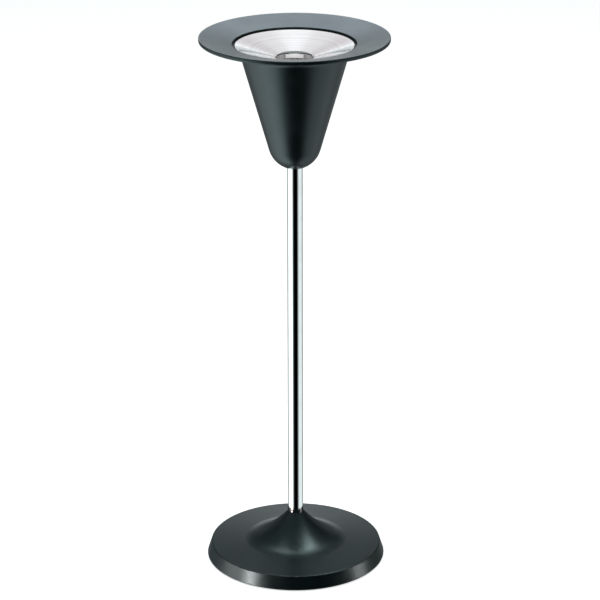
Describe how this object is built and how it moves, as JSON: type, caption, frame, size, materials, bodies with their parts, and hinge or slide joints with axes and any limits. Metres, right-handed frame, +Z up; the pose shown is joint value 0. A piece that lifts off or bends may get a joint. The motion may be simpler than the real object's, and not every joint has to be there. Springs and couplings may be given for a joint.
{
  "type": "pedestal ashtray stand",
  "caption": "Free-standing ashtray: polished lift-out bowl in a wide-rimmed black cone with an inner ash bottle, on a chromed pole and weighted round base.",
  "frame": {"origin": "on the floor, at the pole's axis, under the feet", "axes": "+Z up along the pole; X and Y are level and alike, with a foot on each"},
  "size_m": [0.228, 0.228, 0.6748],
  "materials": {
    "black_satin": "satin black moulding with a fine grain",
    "cast_weight": "raw casting, dull grey",
    "plate_steel": "zinc-plated sheet",
    "fastener_steel": "bright zinc plating",
    "plug_steel": "turned steel",
    "pole_chrome": "mirror chrome plating",
    "bush_nylon": "natural nylon",
    "black_rubber": "matt black rubber",
    "bottle_aluminium": "plain spun aluminium with faint turning lines",
    "bowl_aluminium": "polished aluminium"
  },
  "bodies": {
    "stand": {"base_cover": "black_satin", "base_weight": "cast_weight", "base_plate": "plate_steel", "base_plate_screws": "fastener_steel", "rubber_foot_1": "black_rubber", "rubber_foot_2": "black_rubber", "rubber_foot_3": "black_rubber", "rubber_foot_4": "black_rubber", "base_bolt": "fastener_steel", "base_lock_washer": "fastener_steel", "base_flat_washer": "fastener_steel", "pole_bottom_plug": "plug_steel", "pole_tube": "pole_chrome", "pole_guide_bush": "bush_nylon", "pole_top_plug": "plug_steel", "head_shell": "black_satin", "head_flat_washer": "fastener_steel", "head_lock_washer": "fastener_steel", "head_bolt": "fastener_steel", "bowl_seat_ring": "black_rubber"},
    "bottle": {"ash_bottle": "bottle_aluminium"},
    "bowl": {"ash_bowl": "bowl_aluminium"}
  },
  "joints": [
    {"name": "bottle_lift", "type": "slide", "parent": "stand", "child": "bottle", "axis": [0, 0, 1], "range_m": [0, 0.17]},
    {"name": "bowl_lift", "type": "slide", "parent": "bottle", "child": "bowl", "axis": [0, 0, 1], "range_m": [0, 0.06]}
  ]
}
